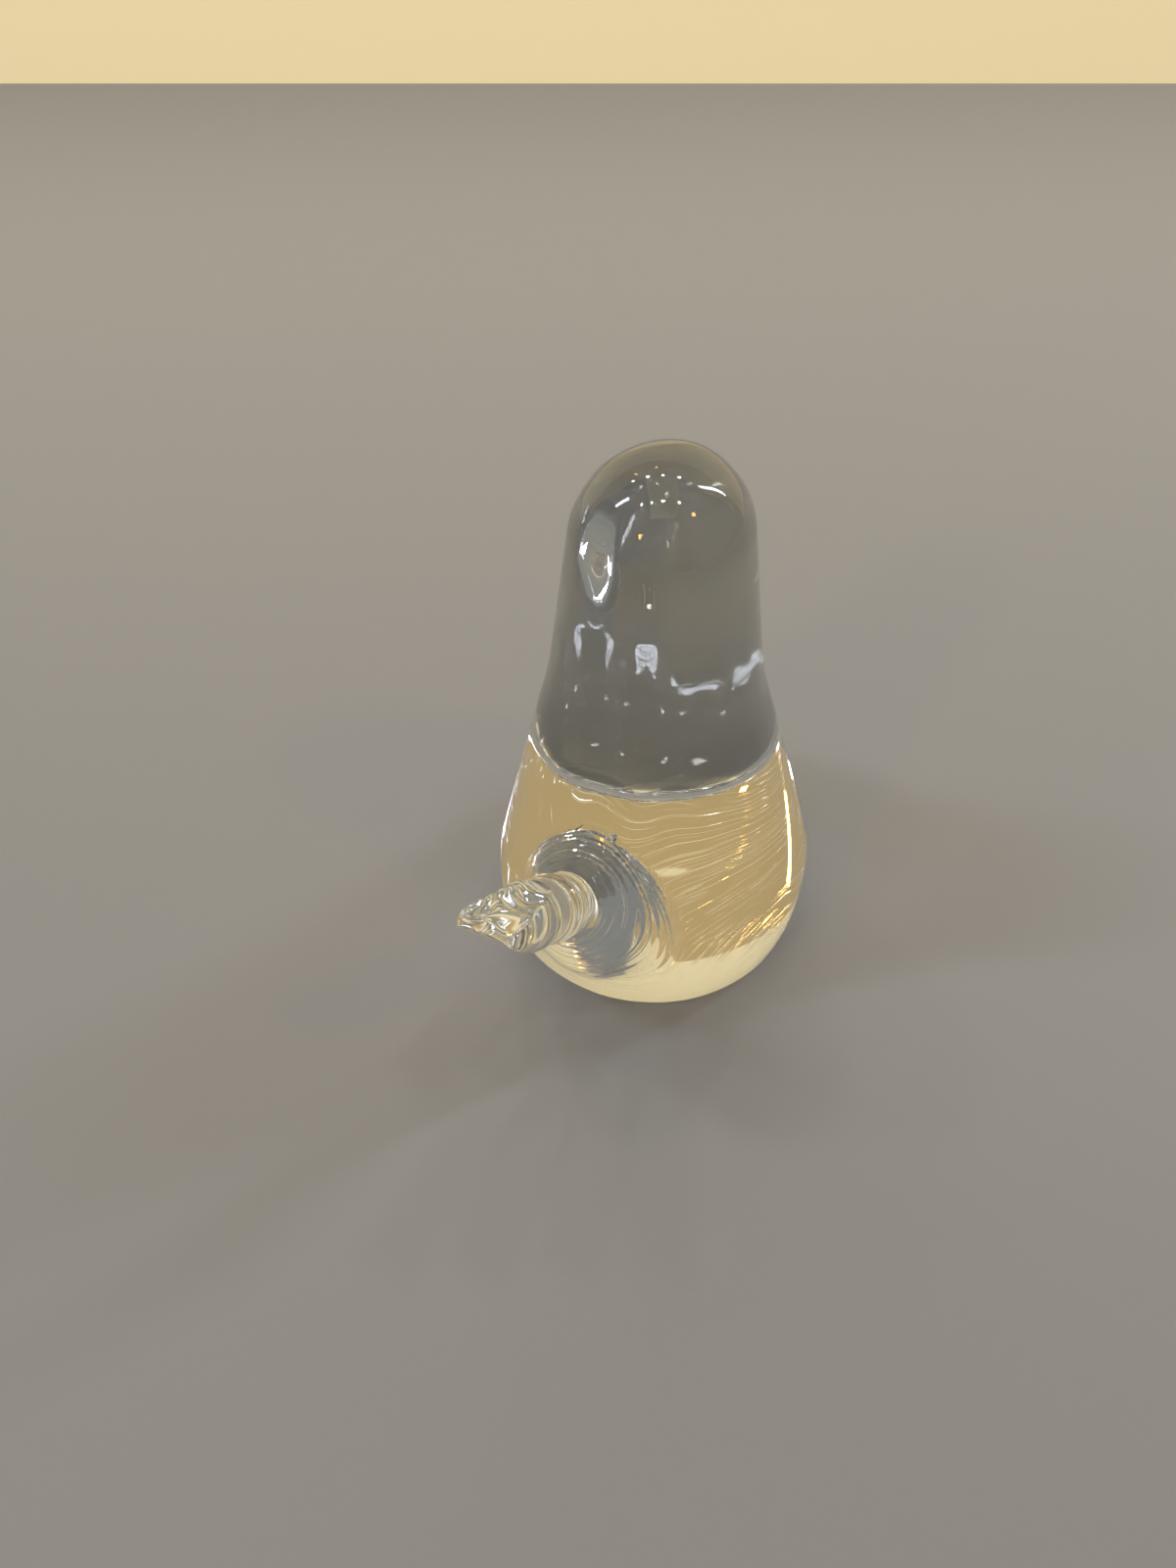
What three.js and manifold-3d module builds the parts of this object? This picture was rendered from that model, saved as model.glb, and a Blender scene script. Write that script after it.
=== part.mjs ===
// Glass bird paperweight: a solid bird worked hot from clear glass, standing on a ground flat.
// A ball of glass with straight flanks makes the body, a thick upright tail with a round end stands on it,
// and a beak is drawn out of a third bit of glass that spreads like a horn where it joins the breast.
// Behind its axis the bird is drawn out, most of all along one line a little to the right of its middle.
// Millimetres, +Z up. The origin lies on the ground flat under the tail's axis and the bird faces -Y.
import * as THREE from 'three';
import { mergeVertices } from 'three/addons/utils/BufferGeometryUtils.js';
import Module from 'manifold-3d';

const degrees = THREE.MathUtils.degToRad;

// Body and tail, both turned about Z and then drawn out behind
const ballRadius = 25;
const ballCentreHeight = 8;
const baseBevel = 0.5;
const waistHeight = 47;
const waistRadius = 15.3;
const waistBlendRadius = 60;
const tailEndRadius = 12.3;
const overallHeight = 81.4;
const backStretch = 1.25;
const backFullness = 0.25;
const fullnessHeading = degrees(-27);
const fullnessFadeStart = 45;
const fullnessFadeEnd = 80;
const footFullness = 0.16;
const footFullnessTop = 14.5;

// Beak: it sits on the breast facing up by seatRise, leaves it at hornRise and bends down to spikeRise
// Distances along its centre line run from the root, which lies hornSink under the skin of the breast
const rootHeight = 18.9;
const seatRise = degrees(12);
const hornSink = 1.7;
const hornSagRadius = 30;
const hornRise = degrees(52);
const bendRadius = 84;
const spikeRise = degrees(40);
const beakLength = 38;
const hornRootRadius = 13.3;
const neckDistance = 14.8;
const neckRadius = 4.3;
const ringZoneTop = 9.9;
const ringPitch = 1.1;
const ringHeight = 0.2;

// Two swellings on the spike, and the pinched and sheared tip
const firstSwellDistance = 18.4;
const firstSwellRadius = 4.8;
const dipDistance = 21.8;
const dipRadius = 4.35;
const secondSwellDistance = 25.9;
const secondSwellRadius = 4.6;
const tipRadius = 4;
const pinchLength = 11;
const tipThickness = 1.6;
const tipHollowWidth = 4.4;
const tipHollowDepth = 0.8;

// Room kept between the beak's hollow root and the body that it sits on
const fuseGap = 0.3;

// How finely round shapes are drawn
const sidesOfBody = 60;
const stepsOfBall = 16;
const stepsOfWaist = 4;
const stepsOfTailEnd = 11;
const sidesOfBeak = 36;
const stepsPerRing = 4;
const stepsOfSpike = 24;

const clearGlass = { color: 0xe9efec, roughness: 0.02, metalness: 0 };

const wasm = await Module();
wasm.setup();

// How far a straight side leans inwards that runs from the waist and touches a circle on the axis
function leanFromWaist(circleRadius, circleHeight) {
  const climb = waistHeight - circleHeight;
  const open = Math.acos(circleRadius / Math.hypot(waistRadius, climb));
  return Math.atan2(climb, waistRadius) - Math.sign(climb) * open;
}

const tailEndCentreHeight = overallHeight - tailEndRadius;
const flankLean = leanFromWaist(ballRadius, ballCentreHeight);
const tailLean = leanFromWaist(tailEndRadius, tailEndCentreHeight);

// Radius at a height of a side that touches a circle on the axis
function sideRadius(circleRadius, circleHeight, lean, height) {
  return (circleRadius - (height - circleHeight) * Math.sin(lean)) / Math.cos(lean);
}

// The flank and the tail's side, both moved outwards by grow
const flankRadius = (height, grow) => sideRadius(ballRadius + grow, ballCentreHeight, flankLean, height);
const tailRadius = (height, grow) => sideRadius(tailEndRadius + grow, tailEndCentreHeight, tailLean, height);

// An arc softens the waist: it touches both sides, from outside where they make a hollow, else from inside
const waistSide = Math.sign(flankLean - tailLean);
const waistReach = waistSide * waistBlendRadius;
const waistCentreHeight = (flankRadius(0, waistReach) - tailRadius(0, waistReach))
  / (Math.tan(flankLean) - Math.tan(tailLean));
const waistCentreRadius = tailRadius(waistCentreHeight, waistReach);

// Radius of the outline at a height: ball, flank, waist, tail's side, round end, all moved out by grow
function outlineRadius(height, grow = 0) {
  const reach = waistReach - grow;
  if (height <= ballCentreHeight + (ballRadius + grow) * Math.sin(flankLean)) {
    return Math.sqrt((ballRadius + grow) ** 2 - (height - ballCentreHeight) ** 2);
  }
  if (height <= waistCentreHeight - reach * Math.sin(flankLean)) {
    return flankRadius(height, grow);
  }
  if (height <= waistCentreHeight - reach * Math.sin(tailLean)) {
    return waistCentreRadius - waistSide * Math.sqrt(reach ** 2 - (height - waistCentreHeight) ** 2);
  }
  if (height <= tailEndCentreHeight + (tailEndRadius + grow) * Math.sin(tailLean)) {
    return tailRadius(height, grow);
  }
  return Math.sqrt(Math.max(0, (tailEndRadius + grow) ** 2 - (height - tailEndCentreHeight) ** 2));
}

// Heights along one arc of the outline, in even turns
function arcHeights(centreHeight, radius, firstTurn, lastTurn, steps) {
  const heights = [];
  for (let i = 0; i <= steps; i += 1) {
    const turn = firstTurn + ((lastTurn - firstTurn) * i) / steps;
    heights.push(centreHeight + radius * Math.sin(turn));
  }
  return heights;
}

// Outline points from one height up to another
function outlineBetween(low, high, grow = 0) {
  const ballBottom = -Math.asin(ballCentreHeight / (ballRadius + grow));
  const between = [
    ...arcHeights(ballCentreHeight, ballRadius + grow, ballBottom, flankLean, stepsOfBall),
    ...arcHeights(waistCentreHeight, grow - waistReach, flankLean, tailLean, stepsOfWaist),
    ...arcHeights(tailEndCentreHeight, tailEndRadius + grow, tailLean, Math.PI / 2, stepsOfTailEnd),
  ].filter((height) => height > low && height < high);
  return [low, ...between, high].map((height) => new THREE.Vector2(outlineRadius(height, grow), height));
}

// How many times further the back reaches than a round bird would, at a height and a turn from +Y
function fullness(height, turn) {
  const fade = THREE.MathUtils.smoothstep(height, fullnessFadeStart, fullnessFadeEnd);
  const foot = Math.max(0, 1 - height / footFullnessTop);
  const facing = Math.max(0, Math.cos(turn - fullnessHeading));
  return 1 + backFullness * (1 - fade) * facing ** 4 + footFullness * foot ** 2 * facing ** 2;
}

// A solid turned about Z whose back is made fuller and then drawn out along Y
function turned(points, sides) {
  const solid = new THREE.LatheGeometry(points, sides).rotateX(Math.PI / 2);
  const places = solid.attributes.position;
  for (let i = 0; i < places.count; i += 1) {
    const [x, y, z] = [places.getX(i), places.getY(i), places.getZ(i)];
    const fuller = fullness(z, Math.atan2(x, y));
    places.setX(i, x * fuller);
    places.setY(i, y * fuller * (y > 0 ? backStretch : 1));
  }
  solid.computeVertexNormals();
  return solid;
}

// A closed geometry as a solid that can be cut
function solidFrom(geometry) {
  const bare = geometry.clone();
  bare.deleteAttribute('normal');
  bare.deleteAttribute('uv');
  const merged = mergeVertices(bare);
  const corners = [];
  const index = merged.index.array;
  for (let i = 0; i < index.length; i += 3) {
    const [a, b, c] = [index[i], index[i + 1], index[i + 2]];
    if (a !== b && b !== c && c !== a) {
      corners.push(a, b, c);
    }
  }
  return new wasm.Manifold(new wasm.Mesh({
    numProp: 3,
    vertProperties: new Float32Array(merged.attributes.position.array),
    triVerts: new Uint32Array(corners),
  }));
}

function geometryFrom(solid) {
  const mesh = solid.getMesh();
  const geometry = new THREE.BufferGeometry();
  geometry.setAttribute('position', new THREE.BufferAttribute(new Float32Array(mesh.vertProperties), 3));
  geometry.setIndex(new THREE.BufferAttribute(new Uint32Array(mesh.triVerts), 1));
  geometry.computeVertexNormals();
  return geometry;
}

function glassPiece(name, geometry) {
  const piece = new THREE.Mesh(geometry, new THREE.MeshStandardMaterial(clearGlass));
  piece.name = name;
  return piece;
}

// Body: the ball and its flanks, up to the waist where the tail's glass was gathered on
function bodyGeometry() {
  return turned([
    new THREE.Vector2(0, 0),
    new THREE.Vector2(outlineRadius(0) - baseBevel, 0),
    ...outlineBetween(baseBevel, waistHeight),
    new THREE.Vector2(0, waistHeight),
  ], sidesOfBody);
}

// Tail: the column and its round end, standing face to face on the body
function tailGeometry() {
  return turned([
    new THREE.Vector2(0, waistHeight),
    ...outlineBetween(waistHeight, overallHeight),
  ], sidesOfBody);
}

// The horn is an arc that narrows into the neck
const hornSpread = hornRootRadius - neckRadius;
const hornArcRadius = (neckDistance ** 2 + hornSpread ** 2) / (2 * hornSpread);

function hornRadius(distance) {
  return neckRadius + hornArcRadius - Math.sqrt(hornArcRadius ** 2 - (neckDistance - distance) ** 2);
}

// Outline of the beak as radius over distance: horn with its tool rings, neck, two swellings, blunt end
function beakOutline() {
  const points = [];
  const ringCount = Math.max(1, Math.round(ringZoneTop / ringPitch));
  const steps = ringCount * stepsPerRing;
  for (let i = 0; i <= steps; i += 1) {
    const distance = (ringZoneTop * i) / steps;
    const ridge = (ringHeight / 2) * (1 - Math.cos((2 * Math.PI * i) / stepsPerRing));
    points.push(new THREE.Vector2(hornRadius(distance) + ridge, distance));
  }
  const spike = new THREE.SplineCurve([
    new THREE.Vector2(hornRadius(ringZoneTop), ringZoneTop),
    new THREE.Vector2(neckRadius, neckDistance),
    new THREE.Vector2(firstSwellRadius, firstSwellDistance),
    new THREE.Vector2(dipRadius, dipDistance),
    new THREE.Vector2(secondSwellRadius, secondSwellDistance),
    new THREE.Vector2(tipRadius, beakLength),
  ]);
  return points.concat(spike.getPoints(stepsOfSpike).slice(1));
}

const beakRoot = new THREE.Vector3(0, hornSink - outlineRadius(rootHeight), rootHeight);

// Place and slope of the beak's centre line: over the bend of the horn, then straight along the spike
function centreLine(distance) {
  const alongBend = Math.min(distance, bendRadius * (hornRise - spikeRise));
  const alongSpike = distance - alongBend;
  const rise = hornRise - alongBend / bendRadius;
  const out = bendRadius * (Math.sin(hornRise) - Math.sin(rise)) + alongSpike * Math.cos(rise);
  const up = bendRadius * (Math.cos(rise) - Math.cos(hornRise)) + alongSpike * Math.sin(rise);
  return { place: new THREE.Vector3(0, -out, up).add(beakRoot), rise };
}

// A closed skin over rings, which sag round the breast at the root and lie square to the spike past the neck
function beakSkin() {
  const outline = beakOutline();
  const lastRing = outline.length - 1;
  const places = [];
  const corners = [];
  const cornerAt = (ring, side) => ring * sidesOfBeak + (side % sidesOfBeak);
  for (const { x: radius, y: distance } of outline) {
    const { place, rise } = centreLine(distance);
    const share = Math.min(1, distance / neckDistance);
    const facing = THREE.MathUtils.lerp(seatRise, rise, share);
    const ahead = new THREE.Vector3(0, -Math.cos(facing), Math.sin(facing));
    const over = new THREE.Vector3(0, Math.sin(facing), Math.cos(facing));
    for (let side = 0; side < sidesOfBeak; side += 1) {
      const turn = (2 * Math.PI * side) / sidesOfBeak;
      const across = radius * Math.cos(turn);
      const sag = (across ** 2 / (2 * hornSagRadius)) * (1 - share);
      places.push(new THREE.Vector3(across, 0, 0).add(place)
        .addScaledVector(ahead, -sag)
        .addScaledVector(over, radius * Math.sin(turn)));
    }
  }
  for (let ring = 0; ring < lastRing; ring += 1) {
    for (let side = 0; side < sidesOfBeak; side += 1) {
      const [a, b] = [cornerAt(ring, side), cornerAt(ring, side + 1)];
      const [c, d] = [cornerAt(ring + 1, side + 1), cornerAt(ring + 1, side)];
      corners.push(a, b, c, a, c, d);
    }
  }
  const root = places.push(beakRoot) - 1;
  const tip = places.push(centreLine(beakLength).place) - 1;
  for (let side = 0; side < sidesOfBeak; side += 1) {
    corners.push(root, cornerAt(0, side + 1), cornerAt(0, side));
    corners.push(tip, cornerAt(lastRing, side), cornerAt(lastRing, side + 1));
  }
  return new THREE.BufferGeometry().setFromPoints(places).setIndex(corners);
}

// Frame at the tip: Z runs out along the spike and X lies across the bird
const { place: tipPlace, rise: tipRise } = centreLine(beakLength);
const tipFrame = new THREE.Matrix4().makeRotationX(Math.PI / 2 - tipRise).setPosition(tipPlace);

// The jacks pinch the end between two slanted flats, and the shears leave a shallow hollow across it
function pinchedTip(solid) {
  const half = tipThickness / 2;
  const slant = Math.atan((secondSwellRadius - half) / pinchLength);
  const jawWidth = 4 * secondSwellRadius;
  const jawDepth = 2 * secondSwellRadius;
  const jawLength = 2.4 * pinchLength;
  let cut = solid;
  for (const side of [1, -1]) {
    const jaw = new THREE.BoxGeometry(jawWidth, jawDepth, jawLength);
    jaw.translate(0, (side * jawDepth) / 2, 0).rotateX(side * slant).translate(0, side * half, 0);
    cut = cut.subtract(solidFrom(jaw.applyMatrix4(tipFrame)));
  }
  const hollowRadius = ((tipHollowWidth / 2) ** 2 + tipHollowDepth ** 2) / (2 * tipHollowDepth);
  const hollow = new THREE.CylinderGeometry(hollowRadius, hollowRadius, 4 * tipThickness, sidesOfBeak);
  hollow.translate(0, 0, hollowRadius - tipHollowDepth).applyMatrix4(tipFrame);
  return cut.subtract(solidFrom(hollow));
}

// Beak: its root is hollowed to the body's own outline, so that it lies on it all round
function beakGeometry() {
  const seat = turned([
    new THREE.Vector2(0, 0),
    ...outlineBetween(0, overallHeight + fuseGap, fuseGap),
  ], 2 * sidesOfBody);
  return geometryFrom(pinchedTip(solidFrom(beakSkin())).subtract(solidFrom(seat)));
}

const bird = new THREE.Group();
bird.add(
  glassPiece('body', bodyGeometry()),
  glassPiece('tail', tailGeometry()),
  glassPiece('beak', beakGeometry())
);

export default bird;
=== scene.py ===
"""Glass bird paperweight: three bits of clear glass that were fused hot.

The camera, the floor and the light for its picture come after the bird.
"""

import itertools
import math

import bmesh
import bpy
import numpy as np
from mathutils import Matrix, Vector


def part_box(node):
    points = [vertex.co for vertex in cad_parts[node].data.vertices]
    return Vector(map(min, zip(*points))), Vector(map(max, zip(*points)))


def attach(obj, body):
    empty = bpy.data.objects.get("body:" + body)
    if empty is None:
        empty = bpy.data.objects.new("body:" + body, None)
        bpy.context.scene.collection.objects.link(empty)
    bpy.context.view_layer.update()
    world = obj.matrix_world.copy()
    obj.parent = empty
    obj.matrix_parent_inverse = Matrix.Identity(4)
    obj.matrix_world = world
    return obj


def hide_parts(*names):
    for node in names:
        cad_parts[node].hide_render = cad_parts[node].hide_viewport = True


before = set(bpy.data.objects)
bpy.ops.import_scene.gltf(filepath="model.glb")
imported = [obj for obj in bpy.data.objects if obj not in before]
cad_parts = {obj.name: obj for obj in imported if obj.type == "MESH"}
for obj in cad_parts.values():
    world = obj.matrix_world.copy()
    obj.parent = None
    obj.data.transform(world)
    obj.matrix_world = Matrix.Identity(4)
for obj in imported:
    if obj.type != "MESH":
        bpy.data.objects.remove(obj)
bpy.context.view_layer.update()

# Body: a solid ball of clear soda-lime glass, gathered on an iron, rolled round, drawn in towards its tail
# and out behind, most of all along one line. Its shape is told by how far a point lies outside it, in
# millimetres, so that the three bits of glass can run into each other as they did when they were hot
MM_IN_M = 1000
body_low, body_high = (MM_IN_M * np.array(corner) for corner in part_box("body"))
ball_radius = body_high[0]
ball_height = 8.0
waist_height = body_high[2]
waist_radius = 15.3
back_stretch = 1.25
back_fullness = 0.25
back_fullness_power = 4
fullness_heading = math.radians(-27)
fullness_fade_start = 45.0
fullness_fade_end = 80.0
foot_fullness = 0.16
foot_fullness_power = 2
foot_fullness_top = 14.5


def lean_from_waist(circle_radius, circle_height):
    """How far a straight side leans in that runs from the waist and touches a circle on the axis."""
    climb = waist_height - circle_height
    opening = math.acos(circle_radius / math.hypot(waist_radius, climb))
    return math.atan2(climb, waist_radius) - math.copysign(opening, climb)


def off_circle(reach, climb, radius):
    return np.hypot(reach, climb) - radius


def off_side(reach, climb, radius, lean):
    return reach * math.cos(lean) + climb * math.sin(lean) - radius


def past_touch(reach, climb, lean):
    """Whether a point lies above the place where a leaning side touches its circle."""
    return climb * math.cos(lean) > reach * math.sin(lean)


flank_lean = lean_from_waist(ball_radius, ball_height)


def off_body(reach, height):
    climb = height - ball_height
    flank = off_side(reach, climb, ball_radius, flank_lean)
    ball = off_circle(reach, climb, ball_radius)
    return np.where(past_touch(reach, climb, flank_lean), flank, ball)


# Tail: a thick upright column of clear glass with a round end, gathered on top of the body
# It was shaped by eye, so it sways a little off the axis, and the waist where it starts is soft
# Slow waves from the hand tools run over it and the body
tail_top = MM_IN_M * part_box("tail")[1].z
tail_end_radius = 12.3
tail_end_height = tail_top - tail_end_radius
tail_lean = lean_from_waist(tail_end_radius, tail_end_height)
waist_blend_radius = 60.0
tail_sway = 1.04
sway_start = 10.0
sway_end = 45.0
sway_heading = math.radians(27)
ripple_counts = (2, 3, 5, 7, 9, 13)
ripple_depths = (0.10, 0.10, 0.08, 0.06, 0.05, 0.03)
ripple_starts = np.random.default_rng(5).uniform(0, 2 * math.pi, len(ripple_counts))
ripple_twists = np.random.default_rng(6).uniform(-0.03, 0.03, len(ripple_counts))
ripple_fade = 9.0


def off_tail(reach, height):
    climb = height - tail_end_height
    side = off_side(reach, climb, tail_end_radius, tail_lean)
    end = off_circle(reach, climb, tail_end_radius)
    return np.where(past_touch(reach, climb, tail_lean), end, side)


def side_at_ground(circle_radius, circle_height, lean):
    """Reach at height 0 of a side that is moved out by the waist's blend radius."""
    return (circle_radius + waist_blend_radius + circle_height * math.sin(lean)) / math.cos(lean)


waist_centre_height = (
    side_at_ground(ball_radius, ball_height, flank_lean)
    - side_at_ground(tail_end_radius, tail_end_height, tail_lean)
) / (math.tan(flank_lean) - math.tan(tail_lean))
waist_centre_reach = (
    side_at_ground(ball_radius, ball_height, flank_lean) - waist_centre_height * math.tan(flank_lean)
)


def soft_step(value, start, end):
    """Rises from 0 at start to 1 at end, without corners."""
    share = np.clip((value - start) / (end - start), 0, 1)
    return share**2 * (3 - 2 * share)


def back_fuller(height, turn):
    """Share by which the back reaches further than a round one, at a height and a turn from +Y."""
    fade = soft_step(height, fullness_fade_start, fullness_fade_end)
    foot = np.clip(1 - height / foot_fullness_top, 0, 1)
    facing = np.clip(np.cos(turn - fullness_heading), 0, 1)
    whole = back_fullness * (1 - fade) * facing**back_fullness_power
    return whole + foot_fullness * foot**2 * facing**foot_fullness_power


def reach_of(points):
    """How far points lie from the swaying axis, with the drawn-out and fuller back made round again."""
    sway = tail_sway * soft_step(points[:, 2], sway_start, sway_end)
    across = points[:, 0] + sway * math.cos(sway_heading)
    along = points[:, 1] + sway * math.sin(sway_heading)
    along = np.where(along > 0, along / back_stretch, along)
    turn = np.arctan2(across, along)
    reach = np.hypot(across, along) / (1 + back_fuller(points[:, 2], turn))
    ripple = 0
    for count, depth, start, twist in zip(ripple_counts, ripple_depths, ripple_starts, ripple_twists):
        ripple = ripple + depth * (0.5 + 0.5 * np.cos(count * turn + start + twist * points[:, 2]))
    return reach + ripple * np.clip(reach / ripple_fade, 0, 1) ** 2


def off_body_and_tail(points):
    """How far points lie outside the body and tail, whose waist is softened by an arc."""
    reach = reach_of(points)
    height = points[:, 2]
    inward = waist_centre_reach - reach
    below = waist_centre_height - height
    turn = np.arctan2(below, inward)
    waist = waist_blend_radius - np.hypot(inward, below)
    upper = np.where(turn < tail_lean, off_tail(reach, height), waist)
    return np.where(turn > flank_lean, off_body(reach, height), upper)


# Beak: a third bit of clear glass, dropped hot on the breast, where it spread like a horn
# The jacks turned fine rings into the horn and two swellings into the spike, then pinched the tip flat,
# and the shears cut it off, which left a round lobe at each end of its edge
root_out = 20.9
root_up = 15.7
seat_facing = math.radians(13)
seat_distance = 3.6
seat_curve_radius = 23.0
horn_rise = math.radians(66)
bend_radius = 39.0
spike_rise = math.radians(40)
beak_length = 40.7
horn_radius = 12.0
horn_hollow = 1.15
neck_distance = 17.6
neck_radius = 4.3
ring_zone_top = 14.0
ring_pitch = 1.1
ring_height = 0.25
ring_unevenness = 0.25
ring_unevenness_twist = 1.7
ring_drift = 0.16
ring_drift_rate = 2.3
ring_tilt = 0.07
swellings = ((21.2, 0.5, 1.9), (28.7, 0.35, 3.4))
tip_taper = 0.3
pinch_length = 11.0
pinch_start_radius = 4.5
tip_half_width = 3.9
tip_half_thickness = 0.5
tip_lobe = 0.9
tip_hollow = 0.7
tip_hollow_half_width = 1.9
root_rounding = 0.6
pinch_rounding = 0.8
cut_rounding = 0.7
place_rounds = 18

bend_length = bend_radius * (horn_rise - spike_rise)


def centre_line(distance):
    """How far out and up the beak's centre line lies at a distance from its root, and its slope."""
    on_bend = np.clip(distance, 0, bend_length)
    straight = distance - on_bend
    rise = horn_rise - on_bend / bend_radius
    out = root_out + bend_radius * (math.sin(horn_rise) - np.sin(rise)) + straight * np.cos(rise)
    up = root_up + bend_radius * (np.cos(rise) - math.cos(horn_rise)) + straight * np.sin(rise)
    return out, up, rise


def off_seat(distance):
    """How far the beak has left its seat at a distance: 0 on the breast, 1 from the neck on."""
    return np.clip((distance - seat_distance) / (neck_distance - seat_distance), 0, 1)


def beak_place(points):
    """Distance along the beak, and place to the side and over its centre line, for each point."""
    distance = np.full(len(points), neck_distance)
    for _ in range(place_rounds):
        out, up, rise = centre_line(distance)
        facing = seat_facing + (rise - seat_facing) * off_seat(distance)
        ahead = (-points[:, 1] - out) * np.cos(facing) + (points[:, 2] - up) * np.sin(facing)
        distance = distance + ahead / np.cos(rise - facing)
    over = (points[:, 1] + out) * np.sin(facing) + (points[:, 2] - up) * np.cos(facing)
    return distance, points[:, 0], over


def beak_radius(distance, turn):
    """Radius of the beak: a horn with tool rings, a neck and two swellings, drawn in at its tip."""
    bell = (0.5 + 0.5 * np.cos(math.pi * off_seat(distance))) ** horn_hollow
    radius = neck_radius + (horn_radius - neck_radius) * bell
    for place, height, span in swellings:
        radius = radius + height * np.exp(-(((distance - place) / span) ** 2))
    fade = np.clip((ring_zone_top - distance) / ring_pitch, 0, 1) * np.clip(distance / ring_pitch, 0, 1)
    phase = distance / ring_pitch + ring_drift * np.sin(ring_drift_rate * distance)
    phase = phase + ring_tilt * np.sin(2 * turn + distance)
    uneven = ring_unevenness * np.sin(turn + ring_unevenness_twist * distance)
    ring = ring_height * (1 - ring_unevenness + uneven)
    radius = radius + fade * ring * (0.5 - 0.5 * np.cos(2 * math.pi * phase))
    last_swelling = swellings[1][0]
    return radius - tip_taper * np.clip((distance - last_swelling) / (beak_length - last_swelling), 0, 1)


def soft_most(a, b, softness):
    """The larger of two distances, with the edge between them rounded off."""
    share = np.clip(0.5 + 0.5 * (a - b) / softness, 0, 1)
    return b + (a - b) * share + softness * share * (1 - share)


def off_beak(points):
    """How far points lie outside the beak, which is pinched between two slanted jaws at its tip."""
    distance, side, over = beak_place(points)
    spread = np.hypot(side, over)
    sag = side**2 / (2 * seat_curve_radius * math.cos(horn_rise - seat_facing))
    off_root = distance + sag * (1 - off_seat(distance))
    radius = beak_radius(off_root, np.arctan2(over, side))
    around = soft_most(spread - radius, -off_root, root_rounding)
    slant = math.atan((pinch_start_radius - tip_half_thickness) / pinch_length)
    lobe = tip_lobe * np.minimum(np.abs(side) / tip_half_width, 1) ** 4
    opening = tip_half_thickness + lobe + (beak_length - distance) * math.tan(slant)
    pinched = soft_most(around, (np.abs(over) - opening) * math.cos(slant), pinch_rounding)
    cut = tip_hollow * np.exp(-((side / tip_hollow_half_width) ** 2))
    return soft_most(pinched, distance - beak_length + cut, cut_rounding)


# The fused bird: where the three bits of glass met hot, their surfaces ran together in soft hollows
# The foot was then ground flat and polished, which left a crisp rim with a fine bevel
# One skin is made for the whole bird and cut at the joints into body, tail and beak
fuse_radius = 2.4
foot_bevel = 0.7
foot_radius = math.sqrt(ball_radius**2 - ball_height**2)
skin_step = 0.56
fine_margin = 1.0
smoothing_rounds = 3
probe_step = 0.01


def off_bird(points):
    """How far points lie outside the finished bird, and how much nearer to its body than its beak."""
    body = off_body_and_tail(points)
    beak = np.full(len(points), 2 * ball_radius)
    near = (points[:, 1] < -ball_radius / 2) & (points[:, 2] > 0)
    beak[near] = off_beak(points[near])
    fused = -soft_most(-body, -beak, fuse_radius)
    return soft_most(fused, -points[:, 2], foot_bevel), beak - body


def slope_of(points):
    """Direction in which the distance to the bird grows fastest: the normal, not yet of length 1."""
    steps = probe_step * np.eye(3)
    rises = [off_bird(points + step)[0] - off_bird(points - step)[0] for step in steps]
    return np.stack(rises, 1) / (2 * probe_step)


def settle(points, rounds=4):
    """Moves points straight on to the bird's surface."""
    for _ in range(rounds):
        slope = slope_of(points)
        off = off_bird(points)[0]
        points = points - slope * (off / (slope**2).sum(1))[:, None]
    return points


def rough_skin():
    """Four-sided faces near the surface, with one point in each cube that the surface passes through."""
    low = np.array([body_low[0], MM_IN_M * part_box("beak")[0].y, 0]) - 2 * skin_step
    high = np.array([body_high[0], body_high[1], tail_top]) + 2 * skin_step
    lines = [np.arange(a, b, skin_step) for a, b in zip(low, high)]
    inside = np.zeros([len(line) for line in lines], bool)
    for i, x in enumerate(lines[0]):
        layer = np.stack(np.meshgrid([x], lines[1], lines[2], indexing="ij"), -1).reshape(-1, 3)
        inside[i] = (off_bird(layer)[0] < 0).reshape(inside.shape[1:])
    ends = (slice(None, -1), slice(1, None))
    corners = np.stack([inside[place] for place in itertools.product(ends, repeat=3)])
    crossed = corners.any(0) & ~corners.all(0)
    number = np.full(crossed.shape, -1)
    number[crossed] = np.arange(crossed.sum())
    points = low + (np.argwhere(crossed) + 0.5) * skin_step
    faces = []
    for axis in range(3):
        filled = np.moveaxis(inside, axis, 0)[:, 1:-1, 1:-1]
        cubes = np.moveaxis(number, axis, 0)
        around = [cubes[:, :-1, :-1], cubes[:, 1:, :-1], cubes[:, 1:, 1:], cubes[:, :-1, 1:]]
        rings = np.stack(around, -1)
        outward = -1 if axis == 1 else 1
        faces.append(rings[filled[:-1] & ~filled[1:]][:, ::outward])
        faces.append(rings[~filled[:-1] & filled[1:]][:, ::-outward])
    return points, np.concatenate(faces)


def places_of(mesh_verts):
    return np.array([v.co for v in mesh_verts]).reshape(-1, 3)


def move_to(mesh_verts, points):
    for vert, point in zip(mesh_verts, points):
        vert.co = point


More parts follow.
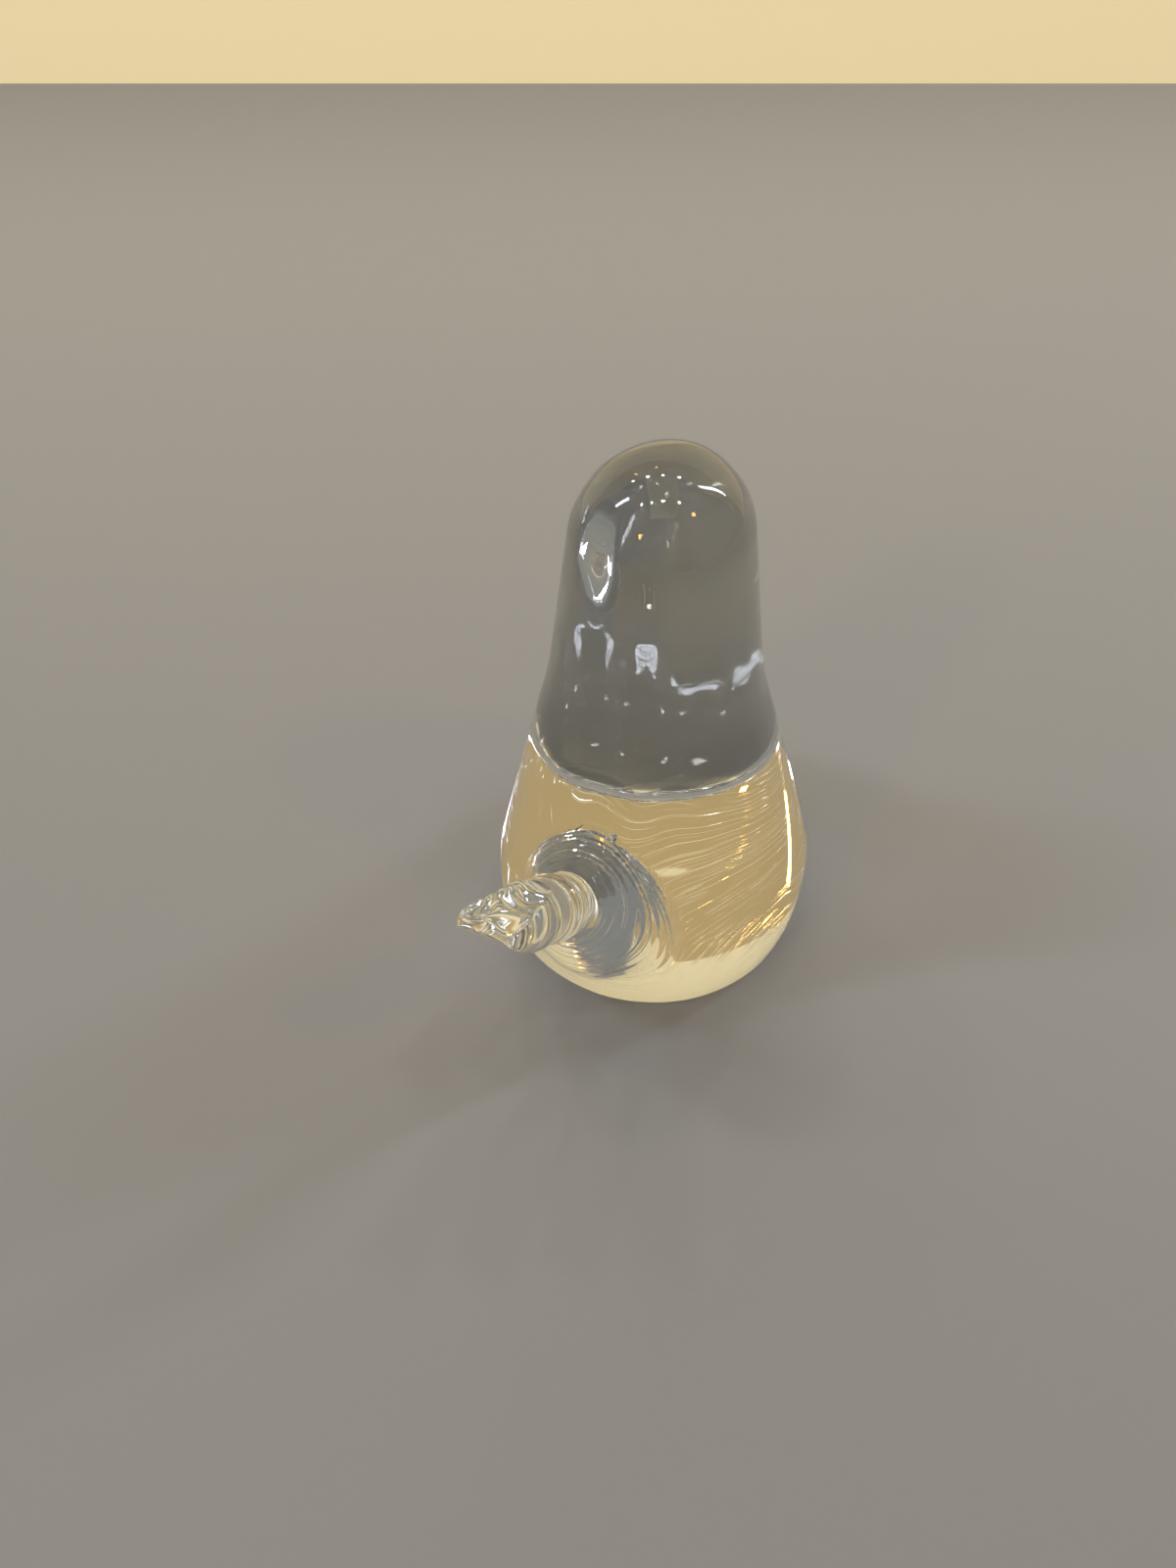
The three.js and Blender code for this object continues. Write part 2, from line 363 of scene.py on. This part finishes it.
def fused_skin():
    """The bird's whole surface, with smaller faces on the beak and along the foot's rim."""
    points, faces = rough_skin()
    rough = bpy.data.meshes.new("rough_skin")
    rough.from_pydata(settle(points).tolist(), [], faces.tolist())
    skin = bmesh.new()
    skin.from_mesh(rough)
    bpy.data.meshes.remove(rough)
    for fine in (False, True):
        if fine:
            verts = list(skin.verts)
            beak_side = off_bird(places_of(verts))[1]
            rim = reach_of(places_of(verts)) > foot_radius - fine_margin
            low = places_of(verts)[:, 2] < fine_margin
            chosen = (beak_side < fine_margin) | rim & low
            detailed = {v for v, fine_one in zip(verts, chosen) if fine_one}
            edges = [e for e in skin.edges if e.verts[0] in detailed and e.verts[1] in detailed]
            bmesh.ops.subdivide_edges(skin, edges=edges, cuts=1, use_grid_fill=True)
        verts = list(skin.verts)
        for _ in range(smoothing_rounds):
            bmesh.ops.smooth_vert(
                skin, verts=verts, factor=0.5, use_axis_x=True, use_axis_y=True, use_axis_z=True,
            )
            move_to(verts, settle(places_of(verts), rounds=2))
    return skin


def cut_where(skin, tells):
    """Cuts the skin along the line where tells(points) is 0."""
    value = dict(zip(skin.verts, tells(places_of(skin.verts))))
    for edge in list(skin.edges):
        a, b = edge.verts
        if value[a] * value[b] < 0:
            _, middle = bmesh.utils.edge_split(edge, a, value[a] / (value[a] - value[b]))
            value[middle] = 0.0
    for face in list(skin.faces):
        ends = [v for v in face.verts if value[v] == 0]
        if len(ends) == 2 and not any(ends[1] in edge.verts for edge in ends[0].link_edges):
            bmesh.utils.face_split(face, *ends)


skin = fused_skin()
cut_where(skin, lambda points: points[:, 2] - waist_height)
cut_where(skin, lambda points: off_bird(points)[1])
bmesh.ops.dissolve_degenerate(skin, dist=probe_step, edges=skin.edges)
centres = np.array([face.calc_center_median() for face in skin.faces])
on_beak = off_bird(centres)[1] < 0
on_tail = ~on_beak & (centres[:, 2] > waist_height)
on_body = ~on_beak & ~on_tail


# Places of the joints' and the foot's materials on a piece, after that of its skin
FUSED, GROUND = 1, 2
straight_down = -0.99


def glass_piece(name, belongs):
    """The share of the skin that belongs to a piece, closed where it was cut from its neighbours."""
    shell = bmesh.new()
    twins = {}
    for face, mine in zip(skin.faces, belongs):
        if mine:
            for v in face.verts:
                if v not in twins:
                    twins[v] = shell.verts.new(v.co)
            shell.faces.new([twins[v] for v in face.verts])
    normals = slope_of(places_of(shell.verts))
    rim = [edge for edge in shell.edges if edge.is_boundary]
    joints = bmesh.ops.edgeloop_fill(shell, edges=rim, mat_nr=FUSED)["faces"]
    bmesh.ops.triangulate(shell, faces=joints)
    bmesh.ops.scale(shell, vec=(1 / MM_IN_M,) * 3, verts=shell.verts)
    mesh = bpy.data.meshes.new(name)
    shell.to_mesh(mesh)
    shell.free()
    mesh.shade_smooth()
    corner_normals = []
    for face in mesh.polygons:
        joint = face.material_index == FUSED
        for v in face.vertices:
            corner_normals.append(face.normal if joint else normals[v])
        if face.normal.z < straight_down and not joint:
            face.material_index = GROUND
    mesh.normals_split_custom_set(corner_normals)
    piece = bpy.data.objects.new(name, mesh)
    bpy.context.scene.collection.objects.link(piece)
    return piece


body = glass_piece("body_glass", on_body)
tail = glass_piece("tail_glass", on_tail)
beak = glass_piece("beak_glass", on_beak)


def to_linear(hex_colour):
    """An sRGB hex colour as the linear red, green, blue and alpha that a shader takes."""
    channels = [int(hex_colour[i:i + 2], 16) / 255 for i in (1, 3, 5)]
    return [c / 12.92 if c <= 0.04045 else ((c + 0.055) / 1.055) ** 2.4 for c in channels] + [1.0]


def new_material(name):
    """An empty node material and its output."""
    material = bpy.data.materials.new(name)
    material.use_nodes = True
    material.node_tree.nodes.clear()
    return material, material.node_tree.nodes.new("ShaderNodeOutputMaterial")


def add_node(tree, kind, links=(), **settings):
    """Adds a node, sets its sockets or properties by name, and links (output, own input name) pairs."""
    node = tree.nodes.new(kind)
    for name, setting in settings.items():
        socket = node.inputs.get(name.replace("_", " "))
        if socket is None:
            setattr(node, name, setting)
        else:
            socket.default_value = setting
    for output, name in links:
        tree.links.new(output, node.inputs[name])
    return node


# Clear soda-lime glass, smooth from the fire: no colour of its own, so the eye reads it by what it bends
# and mirrors
clear_glass, glass_output = new_material("fire_polished_clear_glass")
glass = add_node(
    clear_glass.node_tree, "ShaderNodeBsdfPrincipled",
    Base_Color=to_linear("#fbfdfb"), Roughness=0.0, IOR=1.51, Transmission_Weight=1.0,
)
clear_glass.node_tree.links.new(glass.outputs["BSDF"], glass_output.inputs["Surface"])

# The same glass ground flat on a wheel and polished: clear again, but with fine scratches from the wheel
# and from the desk, which glint through the body. They are drawn coarser than real ones, so that they show
scratch_width = 0.28
scratch_length = 8.0
scratch_depth = 0.02
scratch_headings = (24, 71)
scratch_onset, scratch_full = 0.62, 0.74
ground_glass, ground_output = new_material("ground_and_polished_glass")
tree = ground_glass.node_tree
place = add_node(tree, "ShaderNodeTexCoord")
scratches = []
for heading in scratch_headings:
    along = add_node(
        tree, "ShaderNodeMapping", [(place.outputs["Object"], "Vector")],
        Rotation=(0, 0, math.radians(heading)),
        Scale=(MM_IN_M / scratch_width, MM_IN_M / scratch_length, 0),
    )
    grain = add_node(
        tree, "ShaderNodeTexNoise", [(along.outputs["Vector"], "Vector")], Scale=1.0, Detail=1.0,
    )
    lines = add_node(
        tree, "ShaderNodeMapRange", [(grain.outputs["Fac"], "Value")],
        From_Min=scratch_onset, From_Max=scratch_full,
    )
    scratches.append(lines.outputs["Result"])
both = tree.nodes.new("ShaderNodeMath")
both.operation = "MAXIMUM"
tree.links.new(scratches[0], both.inputs[0])
tree.links.new(scratches[1], both.inputs[1])
scored = add_node(
    tree, "ShaderNodeBump", [(both.outputs["Value"], "Height")],
    invert=True, Strength=0.5, Distance=scratch_depth / MM_IN_M,
)
ground = add_node(
    tree, "ShaderNodeBsdfPrincipled", [(scored.outputs["Normal"], "Normal")],
    Base_Color=to_linear("#fbfdfb"), Roughness=0.02, IOR=1.51, Transmission_Weight=1.0,
)
tree.links.new(ground.outputs["BSDF"], ground_output.inputs["Surface"])

# Inside a joint the glass is one again, so the cut faces of the pieces show nothing
fused_joint, joint_output = new_material("fused_joint")
unseen = add_node(fused_joint.node_tree, "ShaderNodeBsdfPrincipled", Alpha=0.0)
fused_joint.node_tree.links.new(unseen.outputs["BSDF"], joint_output.inputs["Surface"])

for piece, node in ((body, "body"), (tail, "tail"), (beak, "beak")):
    piece.data.materials.append(clear_glass)
    piece.data.materials.append(fused_joint)
    if piece is body:
        piece.data.materials.append(ground_glass)
    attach(piece, "root")
    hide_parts(node)

# Camera: held above and in front of the bird, looking down on it, with the beak towards its lower left
picture_width = 1200
focal_pixels = 1203
camera_turn = math.radians(27)
camera_tilt = math.radians(45)
camera_back = 0.1295
camera_left = 0.01025
camera_height = 0.15455
camera = bpy.data.objects.new("camera", bpy.data.cameras.new("camera"))
camera.data.sensor_fit = "HORIZONTAL"
camera.data.lens = camera.data.sensor_width * focal_pixels / picture_width
camera.data.clip_start = 0.01
camera.location = (
    camera_back * math.sin(camera_turn) - camera_left * math.cos(camera_turn),
    -camera_back * math.cos(camera_turn) - camera_left * math.sin(camera_turn),
    camera_height,
)
camera.rotation_euler = (math.pi / 2 - camera_tilt, 0, camera_turn)
bpy.context.scene.collection.objects.link(camera)
bpy.context.scene.camera = camera


def seen_from_camera(right, away, height):
    """A place given in metres to the right of the bird, away from the camera, and up."""
    return (
        right * math.cos(camera_turn) - away * math.sin(camera_turn),
        right * math.sin(camera_turn) + away * math.cos(camera_turn),
        height,
    )


# Floor and backdrop: a plain grey table top, a cream screen at its far edge, and a tan wall and a pale
# ceiling beyond the picture, which the glass shows. The three sheets glow for the camera and for what is
# seen in or through the glass, but throw no light straight on the table
def glow_for_the_eye(tree, strength):
    """A strength for camera, mirrored and refracted rays, and 0 for the rest."""
    path = tree.nodes.new("ShaderNodeLightPath")
    seen = path.outputs["Is Camera Ray"]
    for ray in ("Is Glossy Ray", "Is Transmission Ray"):
        either = tree.nodes.new("ShaderNodeMath")
        either.operation = "MAXIMUM"
        tree.links.new(seen, either.inputs[0])
        tree.links.new(path.outputs[ray], either.inputs[1])
        seen = either.outputs[0]
    scaled = tree.nodes.new("ShaderNodeMath")
    scaled.operation = "MULTIPLY"
    scaled.inputs[1].default_value = strength
    tree.links.new(seen, scaled.inputs[0])
    return scaled.outputs[0]


def plain_sheet(name, corners, hex_colour, roughness, glow=0.0):
    mesh = bpy.data.meshes.new(name)
    mesh.from_pydata([seen_from_camera(*corner) for corner in corners], [], [tuple(range(len(corners)))])
    sheet = bpy.data.objects.new(name, mesh)
    material, output = new_material(name + "_paint")
    tree = material.node_tree
    paint = add_node(
        tree, "ShaderNodeBsdfPrincipled",
        Base_Color=to_linear(hex_colour), Roughness=roughness, Emission_Color=to_linear(hex_colour),
    )
    if glow:
        tree.links.new(glow_for_the_eye(tree, glow), paint.inputs["Emission Strength"])
    tree.links.new(paint.outputs["BSDF"], output.inputs["Surface"])
    mesh.materials.append(material)
    bpy.context.scene.collection.objects.link(sheet)
    return sheet


floor_gap = -0.0001
table_near, table_far, table_half_width = -0.9, 0.478, 1.2
screen_half_width, screen_height = 0.8, 0.465
room_near, room_far, room_half_width = -1.5, 1.0, 2.5
wall_foot, room_height, ceiling_half_width = 0.5, 2.4, 0.7
plain_sheet("floor", [
    (-table_half_width, table_near, floor_gap), (table_half_width, table_near, floor_gap),
    (table_half_width, table_far, floor_gap), (-table_half_width, table_far, floor_gap),
], "#999b9b", 0.55)
plain_sheet("screen", [
    (-screen_half_width, table_far, floor_gap), (screen_half_width, table_far, floor_gap),
    (screen_half_width, table_far, screen_height), (-screen_half_width, table_far, screen_height),
], "#e2d2a6", 0.8, glow=0.6)
plain_sheet("wall", [
    (-room_half_width, room_far, wall_foot), (room_half_width, room_far, wall_foot),
    (room_half_width, room_far, room_height), (-room_half_width, room_far, room_height),
], "#c4a872", 0.8, glow=0.62)
plain_sheet("ceiling", [
    (-ceiling_half_width, room_far, room_height), (ceiling_half_width, room_far, room_height),
    (ceiling_half_width, room_near, room_height), (-ceiling_half_width, room_near, room_height),
], "#d8ccac", 0.8, glow=0.5)

# Light: two rows of small downlights, a narrow window on each side, a long panel over the far end of the
# table that the glass doesn't show, and small warm lamps, in an even room
world = bpy.data.worlds.new("room")
bpy.context.scene.world = world
world.use_nodes = True
world.node_tree.nodes.clear()
world_output = world.node_tree.nodes.new("ShaderNodeOutputWorld")
room = add_node(world.node_tree, "ShaderNodeBackground", Color=to_linear("#bcbcb8"), Strength=0.42)
world.node_tree.links.new(room.outputs["Background"], world_output.inputs["Surface"])


bird_middle = Vector((0, 0, 0.04))


def soft_panel(name, place, width, height, hex_colour, power):
    """A rectangular area lamp that faces the bird."""
    lamp = bpy.data.lights.new(name, "AREA")
    lamp.shape = "RECTANGLE"
    lamp.size = width
    lamp.size_y = height
    lamp.color = to_linear(hex_colour)[:3]
    lamp.energy = power
    panel = bpy.data.objects.new(name, lamp)
    panel.location = seen_from_camera(*place)
    aim = bird_middle - panel.location
    panel.rotation_euler = aim.to_track_quat("-Z", "Y").to_euler()
    bpy.context.scene.collection.objects.link(panel)
    return panel


for away in (0.45, -0.2):
    for right in (-0.5, -0.23, 0.04, 0.31):
        soft_panel("downlight", (right, away, 1.04), 0.05, 0.05, "#fff8f0", 0.42)
soft_panel("left_window", (-0.72, 0.0, 0.85), 0.08, 0.3, "#e8eeff", 1.9)
soft_panel("right_window", (0.709, 0.41, 0.614), 0.05, 0.5, "#e8eeff", 1.7)
far_panel = soft_panel("far_panel", (0.0, 0.38, 0.32), 1.2, 0.08, "#fff0d8", 1.2)
far_panel.visible_camera = False
far_panel.visible_glossy = False
far_panel.visible_transmission = False
soft_panel("warm_lamp", (0.612, -0.354, 0.883), 0.08, 0.08, "#ffc060", 0.6)
soft_panel("warm_spot", (-0.40, -0.50, 0.50), 0.06, 0.06, "#ffb850", 0.4)
soft_panel("warm_spot", (-0.06, 0.70, 0.95), 0.03, 0.03, "#ffc060", 0.06)
soft_panel("warm_spot", (-0.41, 0.63, 0.98), 0.03, 0.06, "#ffc060", 0.1)

# Light crosses the joints and runs to and fro in solid glass many times before it leaves
glass_bounces = 24
cycles = bpy.context.scene.cycles
cycles.max_bounces = glass_bounces
cycles.glossy_bounces = glass_bounces
cycles.transmission_bounces = glass_bounces
cycles.transparent_max_bounces = glass_bounces

view = bpy.context.scene.view_settings
view.view_transform = "Standard"
